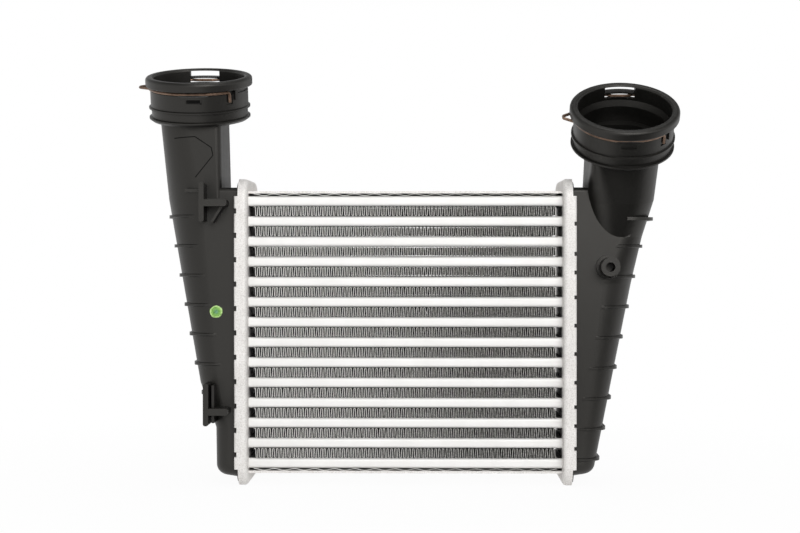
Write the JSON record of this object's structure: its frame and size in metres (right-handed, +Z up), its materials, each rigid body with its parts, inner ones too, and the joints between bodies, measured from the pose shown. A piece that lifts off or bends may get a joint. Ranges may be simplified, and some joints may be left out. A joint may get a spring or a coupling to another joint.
{
  "type": "intercooler",
  "caption": "Air-to-air charge cooler: brazed aluminium tube-and-fin core between moulded plastic end tanks with upright round quick-coupling ducts and wire clips.",
  "frame": {"origin": "middle of the footprint, at the height of the lowest point: the feet of the header pans", "axes": "+X from the tank with the mounting lugs to the tank with the screw boss, +Y to the back, +Z up along the ducts"},
  "size_m": [0.3468, 0.1082, 0.2738],
  "materials": {
    "fin_aluminium": "matte, oxidised",
    "tube_aluminium": "satin, as brazed",
    "turbulator_aluminium": "matte",
    "header_aluminium": "sandy, as brazed",
    "plate_aluminium": "satin",
    "tank_plastic": "satin, glass-filled",
    "clip_wire": "copper-coloured coating",
    "gasket_rubber": "matte"
  },
  "bodies": {
    "root": {"air_fin_01": "fin_aluminium", "air_fin_02": "fin_aluminium", "air_fin_03": "fin_aluminium", "air_fin_04": "fin_aluminium", "air_fin_05": "fin_aluminium", "air_fin_06": "fin_aluminium", "air_fin_07": "fin_aluminium", "air_fin_08": "fin_aluminium", "air_fin_09": "fin_aluminium", "air_fin_10": "fin_aluminium", "air_fin_11": "fin_aluminium", "air_fin_12": "fin_aluminium", "air_fin_13": "fin_aluminium", "charge_tube_01": "tube_aluminium", "charge_tube_02": "tube_aluminium", "charge_tube_03": "tube_aluminium", "charge_tube_04": "tube_aluminium", "charge_tube_05": "tube_aluminium", "charge_tube_06": "tube_aluminium", "charge_tube_07": "tube_aluminium", "charge_tube_08": "tube_aluminium", "charge_tube_09": "tube_aluminium", "charge_tube_10": "tube_aluminium", "charge_tube_11": "tube_aluminium", "charge_tube_12": "tube_aluminium", "charge_tube_13": "tube_aluminium", "charge_tube_14": "tube_aluminium", "turbulator_01": "turbulator_aluminium", "turbulator_02": "turbulator_aluminium", "turbulator_03": "turbulator_aluminium", "turbulator_04": "turbulator_aluminium", "turbulator_05": "turbulator_aluminium", "turbulator_06": "turbulator_aluminium", "turbulator_07": "turbulator_aluminium", "turbulator_08": "turbulator_aluminium", "turbulator_09": "turbulator_aluminium", "turbulator_10": "turbulator_aluminium", "turbulator_11": "turbulator_aluminium", "turbulator_12": "turbulator_aluminium", "turbulator_13": "turbulator_aluminium", "turbulator_14": "turbulator_aluminium", "left_end_tank": "tank_plastic", "left_header_pan": "header_aluminium", "left_spring_clip": "clip_wire", "left_tank_gasket": "gasket_rubber", "right_end_tank": "tank_plastic", "right_header_pan": "header_aluminium", "right_spring_clip": "clip_wire", "right_tank_gasket": "gasket_rubber", "lower_edge_fin": "fin_aluminium", "lower_side_plate": "plate_aluminium", "upper_edge_fin": "fin_aluminium", "upper_side_plate": "plate_aluminium"}
  },
  "joints": []
}
